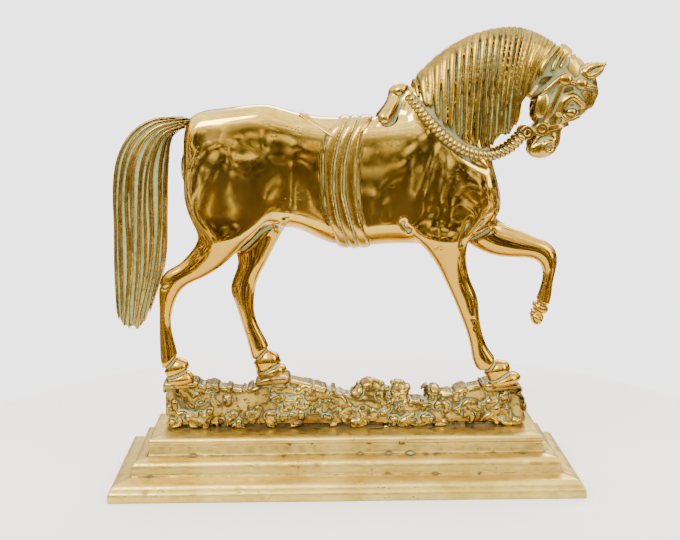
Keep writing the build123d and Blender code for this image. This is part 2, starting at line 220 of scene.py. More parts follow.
class Relief:
    """Height map in side view that is pressed into, or raised from, both sides of a casting."""

    def __init__(self, low, high, step=0.25):
        self.low, self.step = np.array(low, float), step
        self.count = np.ceil((np.array(high) - self.low) / step).astype(int) + 1
        self.height = np.zeros(self.count, np.float32)
        self.x = (self.low[0] + np.arange(self.count[0]) * step)[:, None]
        self.z = (self.low[1] + np.arange(self.count[1]) * step)[None, :]

    def near_line(self, line, reach):
        """Window round a line, each cell's distance from it and how far along it that is."""
        line = np.array(line, float)
        first = np.clip(((line.min(0) - reach - self.low) / self.step).astype(int), 0, self.count - 1)
        last = np.clip(((line.max(0) + reach - self.low) / self.step).astype(int) + 2, 1, self.count)
        window = (slice(first[0], last[0]), slice(first[1], last[1]))
        x, z = self.x[window[0]], self.z[:, window[1]]
        nearest = np.full((last[0] - first[0], last[1] - first[1]), 1e9)
        place = np.zeros_like(nearest)
        for i in range(len(line) - 1):
            way = line[i + 1] - line[i]
            dx, dz = x - line[i][0], z - line[i][1]
            along = np.clip((dx * way[0] + dz * way[1]) / (way @ way + 1e-9), 0, 1)
            gap = np.hypot(dx - along * way[0], dz - along * way[1])
            closer = gap < nearest
            nearest = np.where(closer, gap, nearest)
            place = np.where(closer, (i + along) / (len(line) - 1), place)
        return window, nearest, place

    def ridge(self, line, half_width, height, tip=0.0):
        """Rounded cord along a line; tip is the share of its length over which it thins away."""
        window, gap, place = self.near_line(line, float(np.max(half_width)) + 1)
        width = np.interp(place, np.linspace(0, 1, len(line)), np.broadcast_to(half_width, len(line)))
        if tip:
            width = width * np.sqrt(np.clip((1 - place) / tip, 0, 1))
        shape = height * np.sqrt(np.clip(1 - (gap / np.maximum(width, 0.05)) ** 2, 0, 1))
        self.height[window] = np.maximum(self.height[window], shape)

    def groove(self, line, half_width, depth):
        window, gap, place = self.near_line(line, half_width + 1)
        fade = np.clip(np.minimum(place, 1 - place) * 6, 0.15, 1)
        self.height[window] -= depth * fade * np.clip(1 - (gap / half_width) ** 2, 0, 1)

    def mound(self, x, z, half_x, half_z, height, tilt=0.0):
        c, s = math.cos(math.radians(tilt)), math.sin(math.radians(tilt))
        along = (self.x - x) * c + (self.z - z) * s
        across = (self.z - z) * c - (self.x - x) * s
        self.height += height * np.exp(-(along / half_x) ** 2 - (across / half_z) ** 2)

    def on(self, grid):
        """The height at each of the grid's columns."""
        i = np.clip((grid.x[:, 0, 0] - self.low[0]) / self.step, 0, self.count[0] - 1.001)
        k = np.clip((grid.z[0, 0, :] - self.low[1]) / self.step, 0, self.count[1] - 1.001)
        i0, k0 = i.astype(int), k.astype(int)
        u, v = (i - i0)[:, None], (k - k0)[None, :]
        h = self.height
        flat = (h[i0][:, k0] * (1 - u) * (1 - v) + h[i0 + 1][:, k0] * u * (1 - v)
                + h[i0][:, k0 + 1] * (1 - u) * v + h[i0 + 1][:, k0 + 1] * u * v)
        return flat[:, None, :].astype(np.float32)


# ---- from fields to objects ---------------------------------------------------------------
def sample(field, grid, points):
    """Field value at each point, between the eight samples round it."""
    place = points / grid.step - grid.first
    base = np.clip(np.floor(place).astype(int), 0, np.array(grid.shape) - 2)
    part = np.clip(place - base, 0, 1)
    total = 0
    for corner in range(8):
        bits = np.array([(corner >> 2) & 1, (corner >> 1) & 1, corner & 1])
        at = base + bits
        weight = np.prod(np.where(bits, part, 1 - part), axis=1)
        total = total + weight * field[at[:, 0], at[:, 1], at[:, 2]]
    return total


def hollowness(field, grid):
    """Positive in grooves and joints, negative on ridges; fine and broad hollows together."""
    fine_size, broad_size, fine_weight = 0.7, 2.2, 3.2
    fine = soften(field, max(1, round(fine_size / grid.step))) - field
    broad = soften(field, max(2, round(broad_size / grid.step))) - field
    return -(fine * fine_weight + broad)


def link_object(name, data):
    thing = bpy.data.objects.new(name, data)
    bpy.context.scene.collection.objects.link(thing)
    return thing


def mesh_object(name, points, faces, hollows):
    """Smooth-shaded object from points in millimetres, with a hollowness stored on each."""
    mesh = bpy.data.meshes.new(name)
    mesh.from_pydata((points * MM).tolist(), [], faces)
    stored = mesh.attributes.new("hollow", "FLOAT", "POINT")
    stored.data.foreach_set("value", hollows.astype(np.float32))
    mesh.polygons.foreach_set("use_smooth", np.ones(len(mesh.polygons), bool))
    mesh.update()
    return link_object(name, mesh)


def band_faces(rings, around, closed=False):
    """Quads between neighbouring rings of points; closed joins the last ring to the first."""
    faces = []
    for ring in range(rings if closed else rings - 1):
        here, there = ring * around, (ring + 1) % rings * around
        for i in range(around):
            j = (i + 1) % around
            faces.append((here + i, here + j, there + j, there + i))
    return faces


def cast(name, field, grid, hollow_field=None):
    """Closed mesh of the field's surface, its hollowness taken from hollow_field if given."""
    points, triangles, quads = surface_of(field, grid)
    hollows = sample(hollowness(field if hollow_field is None else hollow_field, grid), grid, points)
    faces = [tuple(f[::-1]) for f in triangles.tolist()] + [tuple(f[::-1]) for f in quads.tolist()]
    return mesh_object(name, points, faces, hollows)


def finish_piece(piece, replaced, material):
    piece.data.materials.clear()
    piece.data.materials.append(material)
    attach(piece, "root")
    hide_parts(replaced)


# ---- forms of the horse -------------------------------------------------------------------
STANDING_LEGS = ["near_hind_leg", "off_hind_leg", "near_fore_leg"]
BODY_AND_LEGS = ["body"] + STANDING_LEGS + ["off_fore_leg"]


def horse_skin(parts, grid, fillet):
    """One smooth skin over several castings, their seams closed and their joints filleted."""
    field = None
    for part in parts.values():
        field = part if field is None else soft_union(field, part, 1.0)
    return fillet_hollows(flatter(soften(field, 1, 1), grid), grid, fillet)


def flatter(field, grid):
    """Barrel and quarters pressed to flat flanks with full edges; neck, head and legs as they are."""
    widening, edge, fall = 1.18, 0.68, 4.9
    widest = node_box("body")[1][1]
    neck = ease(grid.x, 30, 46) * ease(grid.z, 186, 202)
    share = ease(grid.z, 134, 150) * (1 - neck)
    out = np.abs(grid.y)
    source = out / widening + fall / widest * np.maximum(out - edge * widest, 0) ** 2
    place = np.sign(grid.y) * (out + share * (source - out)) / grid.step - grid.first[1]
    base = np.clip(np.floor(place).astype(int), 0, grid.shape[1] - 2)
    part = np.clip(place - base, 0, 1).astype(np.float32)
    lower = np.take_along_axis(field, base, 1)
    upper = np.take_along_axis(field, base + 1, 1)
    return lower * (1 - part) + upper * part


def share_of(skin, name, parts):
    """The part of the skin that belongs to one casting; it dips under its neighbours at the seam."""
    depth, reach, overlap = 0.1, 3, 1.5
    rest = np.minimum.reduce([part for other, part in parts.items() if other != name])
    beyond = (parts[name] - rest) / 2
    dip = depth * np.clip((beyond + reach) / (2 * reach), 0, 1)
    return np.maximum(skin + dip, beyond - overlap)


# Crest point and lock end of the hair, from the withers to the poll, in side view.
HAIR = (
    ((36.0, 219.0), (38.5, 210.5)), ((46.0, 229.0), (46.0, 202.5)), ((56.0, 237.5), (54.5, 193.0)),
    ((66.0, 243.0), (63.0, 187.0)), ((76.0, 246.0), (71.0, 184.4)), ((84.0, 247.4), (78.0, 183.6)),
    ((91.0, 247.4), (84.0, 189.6)), ((98.0, 246.0), (88.5, 190.6)), ((104.0, 243.6), (92.2, 198.0)),
    ((109.5, 241.0), (94.5, 208.6)), ((115.0, 238.0), (101.0, 219.0)), ((121.5, 234.0), (114.0, 223.6)),
)
# Inner and outer edge of the tail, from the croup to the tips, in side view.
TAIL = (
    ((-82.0, 194.6), (-82.0, 201.0)), ((-91.0, 191.0), (-93.0, 200.6)), ((-93.5, 186.0), (-104.0, 199.2)),
    ((-94.5, 178.0), (-115.0, 191.8)), ((-95.0, 168.0), (-122.8, 178.0)), ((-95.2, 154.0), (-125.8, 158.0)),
    ((-95.8, 136.0), (-126.0, 136.0)), ((-98.5, 118.0), (-126.2, 115.0)), ((-104.0, 101.0), (-126.0, 99.0)),
    ((-108.0, 90.0), (-125.0, 88.0)), ((-110.0, 82.0), (-123.0, 83.0)),
)
# The four edges of three girth straps side by side, from the spine down to the belly, in side view.
GIRTH_EDGES = (
    ((-1.0, 204.0), (-3.6, 198.6), (-8.2, 192.8), (-10.9, 185.0), (-11.9, 176.7), (-11.5, 162.0),
     (-10.0, 149.3), (-5.8, 136.5), (-3.0, 127.0)),
    ((4.6, 204.0), (2.7, 200.5), (-3.0, 189.1), (-5.7, 176.7), (-6.3, 162.0), (-4.2, 148.2), (0.5, 134.8),
     (3.6, 127.0)),
    ((10.0, 204.0), (7.9, 200.4), (2.2, 188.1), (-0.5, 176.6), (-1.0, 160.9), (2.1, 147.1), (5.8, 134.3),
     (8.6, 127.0)),
    ((17.0, 204.0), (14.7, 200.4), (8.9, 192.2), (6.3, 176.6), (6.3, 159.8), (7.9, 147.1), (12.2, 134.2),
     (15.2, 127.0)),
)
SADDLE_CREASE = ((15.4, 200.4), (18.6, 198.4), (21.6, 196.6), (25.2, 198.2), (28.4, 205.0), (31.0, 210.6))
# Coronet and hoof of the three planted feet: x, y, z, half length, half width, half height, tilt.
HOOVES = (
    (-92.8, -5.0, 63.4, 7.0, 5.4, 5.0, 25), (-91.2, -5.0, 57.0, 8.2, 6.0, 4.6, 5),
    (-43.8, 5.0, 64.4, 7.2, 5.4, 5.0, 25), (-41.4, 5.0, 58.8, 8.6, 6.0, 4.6, 5),
    (84.4, -5.0, 61.0, 7.0, 5.4, 4.6, 22), (88.4, -5.0, 55.0, 9.2, 6.0, 4.6, 12),
)


def girth_relief():
    """Three straps side by side, rounded across."""
    relief = Relief((-20, 122), (24, 210))
    spine, belly = GIRTH_EDGES[0][0][1], GIRTH_EDGES[0][-1][1]
    z = np.linspace(spine, belly, 40)
    edges = [np.interp(-z, [-p[1] for p in line], [p[0] for p in line]) for line in GIRTH_EDGES]
    for before, after in zip(edges, edges[1:]):
        middle = np.stack([(before + after) / 2, z], 1)
        relief.ridge(middle, (after - before) / 2 * 0.96, 1.15)
    return relief


def saddle_horn(grid):
    """Flattened knob on a forked stem that runs down both sides of the withers."""
    horn = egg(grid, (28.8, 0, 214.0), (5.4, 5.8, 3.5), 24)
    for side in (NEAR, OFF):
        path = curve([(26.8, side * 1.5, 211.6), (25.0, side * 5.2, 206.0), (20.6, side * 9.8, 199.8)], 8)
        horn = soft_union(horn, bow(grid, path, 3.0, 3.1), 1.0)
    return horn


def hair_relief():
    """Strands of the mane: rounded cords from the crest that bend down and end as locks."""
    relief = Relief((28, 176), (132, 252))
    count = 27
    pairs = np.array(HAIR)
    places = np.linspace(0, len(HAIR) - 1, count)
    tops = np.stack([np.interp(places, range(len(HAIR)), pairs[:, 0, i]) for i in (0, 1)], 1)
    ends = np.stack([np.interp(places, range(len(HAIR)), pairs[:, 1, i]) for i in (0, 1)], 1)
    t = np.linspace(0, 1, 26)
    for i in range(count):
        gap = np.hypot(*(tops[min(i + 1, count - 1)] - tops[max(i - 1, 0)])) / 2
        low_gap = np.hypot(*(ends[min(i + 1, count - 1)] - ends[max(i - 1, 0)])) / 2
        end_z = ends[i][1] - (1.6 if i % 3 == 1 else -0.8 * (i % 3))
        x = tops[i][0] + (ends[i][0] - tops[i][0]) * (1 - (1 - t) ** 2.0)
        x = x + 0.35 * np.sin(7 * t + 2.1 * i) * t
        z = tops[i][1] + 1.5 + (end_z - tops[i][1] - 1.5) * t
        width = 0.43 * np.interp(t, (0, 1), (gap, min(low_gap, 3.6)))
        strength = 1.0 + 0.18 * math.sin(2.7 * i)
        relief.ridge(np.stack([x, z], 1), width, 1.5 * strength, tip=0.07)
    relief.height -= 1.4
    crest = np.interp(relief.x, tops[:, 0], tops[:, 1])
    relief.height *= 1 - 0.65 * ease(relief.z, crest - 5.0, crest + 0.5)
    return relief


def tail_relief():
    """Thick strands of the tail, fanning from the croup and ending in separate tips."""
    relief = Relief((-132, 76), (-72, 208))
    pairs = np.array(TAIL)
    tip_z = (91.0, 88.0, 82.5, 83.0, 86.0, 84.5, 87.0, 86.0, 89.5)
    count = len(tip_z)
    for i in range(count):
        share = (i + 0.5) / count
        share = share + 0.025 * math.sin(4.0 * i)
        line = pairs[:, 0] + (pairs[:, 1] - pairs[:, 0]) * share
        line = curve(line, 60)
        keep = line[:, 1] > tip_z[i]
        line = line[keep]
        line[:, 0] += 0.5 * np.sin(line[:, 1] / 13 + 1.9 * i)
        spread = np.interp(np.linspace(0, len(pairs) - 1, 60)[keep], range(len(pairs)),
                           np.hypot(*(pairs[:, 1] - pairs[:, 0]).T)) / count
        relief.ridge(line, 0.47 * spread, 1.7, tip=0.06)
        if i % 2:
            relief.groove(line[14:50] + np.array([0.8, 0.0]), 0.5, 0.5)
    relief.height -= 1.3
    return relief


# Soft muscle forms: x, z, half length, half width, height (hollows are negative), tilt in degrees.
MUSCLES = (
    (62, 166, 17, 20, 1.3, 60), (44, 172, 7, 26, -0.9, -12), (-62, 172, 20, 22, 0.9, 0),
    (-30, 160, 8, 16, -0.9, 0), (18, 152, 5, 12, 0.4, 0), (66, 186, 10, 6, 0.7, -40),
    (74, 160, 6, 9, 0.6, 0), (52, 152, 8, 9, 0.7, 50), (-86, 170, 6, 18, -0.6, 0), (-52, 186, 8, 9, -0.5, 0),
)
# Folds of the skin in side view: a few points, half width, depth.
CREASES = (
    (((36.0, 138.5), (31.5, 142.0), (30.6, 146.0)), 2.2, 1.4),
    (((61.5, 130.5), (62.6, 137.0), (66.5, 146.5)), 1.6, 1.0),
    (((67.0, 131.5), (70.0, 139.0), (75.5, 147.0)), 1.6, 1.0),
    (((68.0, 131.0), (74.0, 134.5), (81.0, 139.0)), 1.6, 1.4),
    (((56.0, 186.0), (66.0, 177.0), (78.0, 171.0)), 2.0, 0.9),
    (((-60.5, 124.5), (-52.0, 131.0), (-44.0, 138.5), (-33.0, 144.0)), 2.0, 1.2),
    (((-101.5, 110.0), (-97.5, 108.5), (-95.5, 111.0)), 1.4, 0.7),
    (((48.0, 128.5), (50.5, 131.0), (53.0, 130.0)), 1.2, 0.5),
    (((69.0, 92.0), (71.0, 88.0), (70.6, 84.0)), 1.5, 0.4),
)
BELLY_RINGS = ((-37.6, 141.6), (-33.2, 143.8))


def body_relief():
    """Creases and soft muscle forms of barrel, shoulder and haunch."""
    relief = Relief((-108, 48), (126, 236))
    for muscle in MUSCLES:
        relief.mound(*muscle)
    turn = np.linspace(0, 2 * math.pi, 14)
    for x, z in BELLY_RINGS:
        relief.ridge(np.stack([x + 1.7 * np.cos(turn), z + 1.5 * np.sin(turn)], 1), 0.9, 0.9)
    waver = np.sin(relief.x / 7.5 + 1.2 * np.sin(relief.z / 19.0))
    relief.height += 0.16 * waver * np.sin(relief.z / 11.0 + 0.8)
    relief.height += 0.22 * np.sin(relief.x / 17.0 - relief.z / 26.0)
    for line in GIRTH_EDGES:
        relief.groove(curve(line, 40), 1.1, 0.5)
    relief.groove(curve(SADDLE_CREASE, 30), 1.7, 1.1)
    for line, half_width, depth in CREASES:
        relief.groove(curve(line, 14), half_width, depth)
    return relief


def hoof_relief():
    """Lines between the rounded lumps of each foot."""
    relief = Relief((-108, 48), (126, 112))
    for line in (
        ((-102.5, 62.0), (-98.0, 64.0), (-93.0, 69.5), (-90.5, 70.5)),
        ((-101.5, 57.0), (-95.0, 58.8), (-88.0, 62.0), (-83.0, 63.0)),
        ((-54.0, 64.0), (-49.5, 65.6), (-44.0, 71.0), (-41.5, 72.0)),
        ((-50.0, 58.0), (-45.0, 58.8), (-38.0, 62.4), (-33.0, 63.0)),
        ((73.0, 59.5), (79.0, 61.0), (82.6, 66.0), (84.5, 69.5)),
        ((77.5, 53.0), (84.0, 55.5), (91.0, 59.6), (97.0, 61.0)),
        ((105.0, 99.5), (109.0, 96.2), (115.0, 94.0)),
        ((103.0, 96.0), (107.0, 92.0), (113.0, 88.6)),
        ((104.0, 92.0), (107.5, 89.6), (110.5, 87.6)),
    ):
        relief.groove(curve(line, 16), 1.1, 1.3)
    return relief


def ear_form(grid, skin, side):
    tip = bow(grid, [(132.5, side * 5.6, 225.0), (138.2, side * 5.4, 227.8)], 2.6, 0.9)
    ear = soft_union(egg(grid, (131.2, side * 5.6, 224.0), (6.6, 2.9, 4.2), 24), tip, 1.5)
    skin = soft_union(skin, ear, 1.2)
    bowl = bow(grid, [(129.6, side * 9.2, 223.0), (135.6, side * 7.6, 226.2)], 2.2, 0.9)
    return soft_cut(skin, bowl, 0.6)


def eye_form(grid, skin, side):
    """Heavy upper lid, socket, eyeball and thin lower lid."""
    lid = [(114.6, side * 7.4, 203.0), (116.4, side * 8.4, 208.0), (121.0, side * 8.8, 210.4),
           (126.8, side * 7.0, 205.8)]
    skin = soft_union(skin, bow(grid, curve(lid, 12), 2.1, 1.5), 1.6)
    skin = soft_cut(skin, egg(grid, (120.0, side * 9.6, 202.4), (5.0, 3.0, 3.6), 10), 0.8)
    skin = soft_union(skin, egg(grid, (120.2, side * 6.6, 202.4), (3.2, 2.6, 2.5), 8), 0.4)
    lower = [(115.4, side * 6.6, 200.6), (119.4, side * 7.4, 198.2), (124.6, side * 6.8, 200.2)]
    return soft_union(skin, bow(grid, curve(lower, 9), 1.0), 0.8)


def nostril_form(grid, skin, side):
    """Swollen muzzle with a raised ring round the nostril."""
    skin = soft_union(skin, egg(grid, (106.0, side * 4.4, 183.0), (7.6, 2.6, 5.0), 10), 1.2)
    ring = [(106.2, side * 6.8, 182.2), (107.4, side * 7.0, 185.6), (110.6, side * 6.6, 186.0),
            (112.2, side * 5.6, 183.4), (110.0, side * 6.2, 181.0)]
    skin = soft_union(skin, bow(grid, curve(ring, 14), 1.15), 0.7)
    return soft_cut(skin, egg(grid, (109.4, side * 7.6, 183.4), (1.9, 2.2, 1.7)), 0.4)


# Lines of mouth, muzzle and cheek, in side view.
FACE_LINES = (
    ((98.6, 189.4), (103.0, 187.6), (107.0, 189.0), (113.0, 188.4), (117.0, 189.4)),
    ((100.6, 184.6), (102.6, 186.4), (106.0, 187.4)),
    ((113.4, 196.6), (115.4, 200.6), (116.6, 203.4)),
)
# Grooves between the locks of the forelock: crest point and lower end, in side view.
FORELOCK = (
    ((121.5, 233.5), (115.0, 223.4)), ((124.0, 232.6), (118.8, 223.0)),
    ((126.4, 231.4), (122.4, 222.6)), ((128.6, 230.0), (125.8, 223.0)),
)


def head_form(grid, skin):
    """Ears, eyes, cheeks, nostrils, mouth, forelock and brow."""
    for side in (NEAR, OFF):
        skin = ear_form(grid, skin, side)
        skin = eye_form(grid, skin, side)
        cheek = egg(grid, (104.6, side * 6.6, 206.0), (4.2, 2.4, 7.2), -12)
        skin = soft_union(skin, cheek, 1.0)
        skin = nostril_form(grid, skin, side)
        for line in FACE_LINES:
            path = [(x, side * 6.6, z) for x, z in curve(line, 8)]
            skin = soft_cut(skin, bow(grid, path, 0.75), 0.5)
    for (x, z), (end_x, end_z) in FORELOCK:
        for side in (NEAR, OFF):
            path = [(x, 0, z), (x - 1.0, side * 6.4, z - 3.2), (end_x, side * 9.4, end_z)]
            skin = soft_cut(skin, bow(grid, curve(path, 7), 0.8), 0.8)
    brow = bow(grid, [(131.6, 0, 217.6), (133.2, 0, 212.0), (131.6, 0, 206.6)], 3.6, 2.4)
    return soft_union(skin, brow, 2.0)


# ---- materials ----------------------------------------------------------------------------
class Nodes:
    """Short hand for building the nodes of a material or a world."""

    def __init__(self, owner):
        owner.use_nodes = True
        self.tree = owner.node_tree
        self.tree.nodes.clear()

    def add(self, kind, inputs=None, **settings):
        node = self.tree.nodes.new(kind)
        for key, value in settings.items():
            setattr(node, key, value)
        for key, value in (inputs or {}).items():
            if isinstance(value, bpy.types.NodeSocket):
                self.tree.links.new(value, node.inputs[key])
            else:
                node.inputs[key].default_value = value
        return node

    def noise(self, vector, scale, detail=4.0, roughness=0.55, distortion=0.0):
        node = self.add("ShaderNodeTexNoise", {"Vector": vector, "Scale": scale, "Detail": detail,
                                               "Roughness": roughness, "Distortion": distortion})
        return node.outputs["Fac"]

    def math(self, operation, a, b=0.0, c=0.0):
        return self.add("ShaderNodeMath", {0: a, 1: b, 2: c}, operation=operation).outputs[0]

    def plus_share(self, value, other, share):
        """value + other * share."""
        return self.math("ADD", value, self.math("MULTIPLY", other, share))

    def span(self, value, low, high, to_low=0.0, to_high=1.0):
        """Smooth step from low to high."""
        node = self.add("ShaderNodeMapRange", {"Value": value, "From Min": low, "From Max": high,
                                               "To Min": to_low, "To Max": to_high})
        node.interpolation_type = "SMOOTHSTEP"
        return node.outputs["Result"]

    def mix(self, factor, a, b, blend_type="MIX"):
        node = self.add("ShaderNodeMix", data_type="RGBA", blend_type=blend_type)
        for socket, value in ((node.inputs[0], factor), (node.inputs[6], a), (node.inputs[7], b)):
            if isinstance(value, bpy.types.NodeSocket):
                self.tree.links.new(value, socket)
            else:
                socket.default_value = value
        return node.outputs[2]


def colour(r, g, b):
    return (r, g, b, 1.0)


TARNISH = colour(0.07, 0.04, 0.012)
PIT_DARK = colour(0.05, 0.03, 0.012)
VERDIGRIS_DARK = colour(0.15, 0.185, 0.075)
VERDIGRIS_PALE = colour(0.44, 0.49, 0.28)
# the painted reflection of the gold plinth reddens the belly and legs between these heights
FLANK_END, LEG_START = 0.150, 0.128      # heights between which the metal changes tone, in metres


def brass(name, bright, deep, hollow, roughness=0.16, grime=0.1, pits=0.0, scratch=0.0, underside_reflection_tone=None):
    """Polished brass, brown at the edge of each hollow and chalky green inside it.

    hollow holds the depth where the brown starts and the depth where the green is full.
    Given a low tone, the metal grows redder from the flank down to the legs, a painted reflection of the gold
    plinth below.
    """
    material = bpy.data.materials.new(name)
    n = Nodes(material)
    start, full = hollow
    place = n.add("ShaderNodeTexCoord").outputs["Object"]
    stored = n.add("ShaderNodeAttribute", attribute_name="hollow").outputs["Fac"]
    ragged = n.noise(place, 900, 5, 0.65)
    patchy = n.noise(place, 140, 4, 0.6)
    depth = n.plus_share(stored, n.math("SUBTRACT", ragged, 0.5), 0.35)
    depth = n.plus_share(depth, n.math("SUBTRACT", patchy, 0.5), 0.5)
    brown = n.span(depth, start, (start + full) / 2)
    stain = n.math("MULTIPLY", n.span(n.noise(place, 210, 6, 0.7), 0.50, 0.62), grime)
    brown = n.math("MAXIMUM", brown, stain)
    green = n.span(depth, (start * 2 + full) / 3, full)
    tone = n.mix(n.span(n.noise(place, 45, 3), 0.35, 0.7), bright, deep)
    if underside_reflection_tone:
        # painted reflection: belly and legs take a redder tone that stands in for the gold plinth mirrored in
        # them
        up = n.add("ShaderNodeSeparateXYZ", {0: place}).outputs["Z"]
        tone = n.mix(n.span(up, FLANK_END, LEG_START), tone, underside_reflection_tone)
    tone = n.mix(brown, tone, TARNISH)
    chalk = n.mix(n.noise(place, 500, 3), VERDIGRIS_DARK, VERDIGRIS_PALE)
    tone = n.mix(green, tone, chalk)
    rough = n.math("ADD", n.math("MULTIPLY", brown, 0.22), n.math("MULTIPLY", green, 0.45))
    wear = n.span(n.noise(place, 260, 5, 0.6), 0.3, 0.75, roughness * 0.75, roughness * 1.5)
    rough = n.math("ADD", rough, wear)
    height = n.math("MULTIPLY", n.noise(place, 420, 3), 0.8 * roughness)
    if pits:
        cells = n.add("ShaderNodeTexVoronoi", {"Vector": place, "Scale": 520.0, "Randomness": 1.0})
        spot = n.span(cells.outputs["Distance"], 0.28, 0.12)
        spot = n.math("MULTIPLY", spot, n.span(n.noise(place, 60, 3), 0.56, 0.66))
        height = n.math("SUBTRACT", height, n.math("MULTIPLY", spot, pits))
        tone = n.mix(n.math("MULTIPLY", spot, min(1.0, pits)), tone, PIT_DARK)
    if scratch:
        stretched = n.add("ShaderNodeMapping", {"Vector": place, "Scale": (40.0, 1200.0, 1500.0)})
        lines = n.noise(stretched.outputs[0], 1.0, 6, 0.7)
        height = n.plus_share(height, lines, scratch)
        rough = n.math("ADD", rough, n.span(lines, 0.4, 0.7, 0.0, 0.12))
    height = n.plus_share(height, n.math("MULTIPLY", ragged, green), 0.8)
    bump = n.add("ShaderNodeBump", {"Strength": 0.35, "Distance": 0.0003, "Height": height})
    metal = n.math("SUBTRACT", 1.0, n.math("MULTIPLY", green, 0.92))
    shader = n.add("ShaderNodeBsdfPrincipled", {
        "Base Color": tone, "Metallic": metal, "Roughness": rough, "Normal": bump.outputs["Normal"],
    })
    n.add("ShaderNodeOutputMaterial", {"Surface": shader.outputs[0]})
    return material


# the low tone paints the gold plinth's reflection into the belly and legs
polished = brass("polished_brass", colour(0.61, 0.435, 0.10), colour(0.52, 0.32, 0.048), (0.45, 1.2),
                 roughness=0.09, grime=0.05, pits=0.7, underside_reflection_tone=colour(0.46, 0.265, 0.03))
head_metal = brass("head_brass", colour(0.50, 0.345, 0.06), colour(0.36, 0.225, 0.035), (0.20, 0.80),
                   roughness=0.16, grime=0.25)
mane_metal = brass("mane_brass", colour(0.36, 0.245, 0.04), colour(0.21, 0.135, 0.022), (-0.2, 0.55),
                   roughness=0.22, grime=0.5)
tail_metal = brass("tail_brass", colour(0.42, 0.28, 0.06), colour(0.26, 0.16, 0.03), (0.0, 0.70),
                   roughness=0.22, grime=0.4)
ground_metal = brass("ground_brass", colour(0.50, 0.35, 0.075), colour(0.20, 0.125, 0.022), (0.0, 1.25),
                     roughness=0.20, grime=0.95, pits=1.2)
tack_metal = brass("tack_brass", colour(0.54, 0.36, 0.07), colour(0.40, 0.24, 0.04), (0.25, 0.90),
                   roughness=0.18, grime=0.3)
plinth_metal = brass("plinth_brass", colour(0.60, 0.45, 0.125), colour(0.46, 0.32, 0.065), (0.45, 1.6),
                     roughness=0.34, grime=0.12, pits=1.2, scratch=0.3)
pin_metal = brass("pin_brass", colour(0.55, 0.38, 0.12), colour(0.45, 0.30, 0.08), (2.0, 3.0), roughness=0.30)
steel = brass("fixing_steel", colour(0.40, 0.40, 0.39), colour(0.30, 0.30, 0.30), (2.0, 3.0),
              roughness=0.35, grime=0.0)


# ---- pieces -------------------------------------------------------------------------------
def make_horse():
    """Body and legs share one skin, so that their seams close; the girths and saddle lie on it."""
    grid = grid_round(BODY_AND_LEGS, BODY_STEP)
    parts = {name: node_field(name, grid) for name in ["body", "head"] + BODY_AND_LEGS[1:]}
    skin = horse_skin(parts, grid, 3.5)
    skin = soften(skin, 2, 2)
    for x, y, z, half_length, half_width, half_height, tilt in HOOVES:
        hoof = egg(grid, (x, y, z), (half_length, half_width, half_height), tilt)
        skin = soft_union(skin, hoof, 0.8)
    skin = skin - body_relief().on(grid) - hoof_relief().on(grid)
    horn = saddle_horn(grid)
    withers = bow(grid, [(34.0, 0, 211.0), (27.4, 0, 201.0)], 5.2, 6.4)
    skin = soft_union(skin, soft_union(horn + 0.6, withers, 2.0), 4.0)
    straps = girth_relief()
    girth = np.maximum(skin - straps.on(grid), 0.12 - straps.on(grid))
    neighbours = ("mane", "tail", "crupper_strap", "near_rein", "rocky_ground")
    touching = [node_field(name, grid) for name in neighbours]
    hollow = np.minimum.reduce([skin, horn - 0.4, girth] + touching)
    for name in BODY_AND_LEGS:
        piece = cast(name + "_casting", share_of(skin, name, parts), grid, hollow)
        finish_piece(piece, name, polished)
    make_girths(skin, grid, straps)
    make_saddle(skin, grid)


def make_girths(skin, body_grid, straps):
    """Three straps in one casting, wrapped round the barrel and sunk a little into it."""
    grid = grid_round(["girth_straps"], 0.4, 3.0)
    under = resampled(skin, body_grid, grid)
    height = straps.on(grid)
    sunk, thinnest = 1.6, 0.16
    own = np.maximum(np.maximum(under - height, -under - sunk), (thinnest - height) * 2)
    piece = cast("girth_straps_casting", own, grid, np.minimum(own, under))
    finish_piece(piece, "girth_straps", tack_metal)


def make_saddle(skin, body_grid):
    grid = grid_round(["saddle_pad"], 0.35, 8.0)
    under = resampled(skin, body_grid, grid)
    own = saddle_horn(grid) - 0.4
    piece = cast("saddle_pad_casting", own, grid, np.minimum(own, under))
    finish_piece(piece, "saddle_pad", tack_metal)


def make_head():
    grid = grid_round(["head"], FINE_STEP, 5.0)
    parts = {name: node_field(name, grid) for name in ("head", "body")}
    skin = horse_skin(parts, grid, 2.0)
    skin = head_form(grid, soften(skin, 1, 2))
    own = share_of(skin, "head", parts)
    touching = [node_field(name, grid) for name in ("bridle_straps", "bridle_rosettes", "mane", "bit")]
    hollow = np.minimum.reduce([skin] + touching)
    finish_piece(cast("head_casting", own, grid, hollow), "head", head_metal)


def make_mane():
    grid = grid_round(["mane"], HAIR_STEP, 4.0)
    own = soften(node_field("mane", grid, 6.0), 1, 1)
    own = own - hair_relief().on(grid)
    touching = [node_field(name, grid) for name in ("near_rein", "off_rein", "body", "head")]
    hollow = np.minimum.reduce([own] + touching)
    finish_piece(cast("mane_casting", own, grid, hollow), "mane", mane_metal)


def make_tail():
    grid = grid_round(["tail"], FINE_STEP, 4.0)
    own = soften(node_field("tail", grid, 6.0), 1, 1)
    own = own - tail_relief().on(grid)
    finish_piece(cast("tail_casting", own, grid), "tail", tail_metal)


def make_tack():
    """Crupper, bridle, rosettes and bit, their edges rounded as by casting."""
    steps = {"crupper_strap": 0.3, "bridle_straps": 0.25, "bridle_rosettes": 0.25, "bit": 0.25}
    for name, step in steps.items():
        grid = grid_round([name], step, 3.0)
        own = soften(node_field(name, grid, 3.0), 1, 1) - 0.12
        finish_piece(cast(name + "_casting", own, grid), name, tack_metal)


# Round pearls on the flanks of the ground strip, in side view: x, z, radius.
PEARLS = (
    (-78, 30.6, 2.6), (-75.4, 38.4, 2.0), (-87, 35.4, 2.4), (-96, 33, 1.8), (-69, 33, 1.6),
    (-20, 47, 3.0), (6, 49, 3.6), (20, 47, 3.4), (50, 49, 3.0),
)
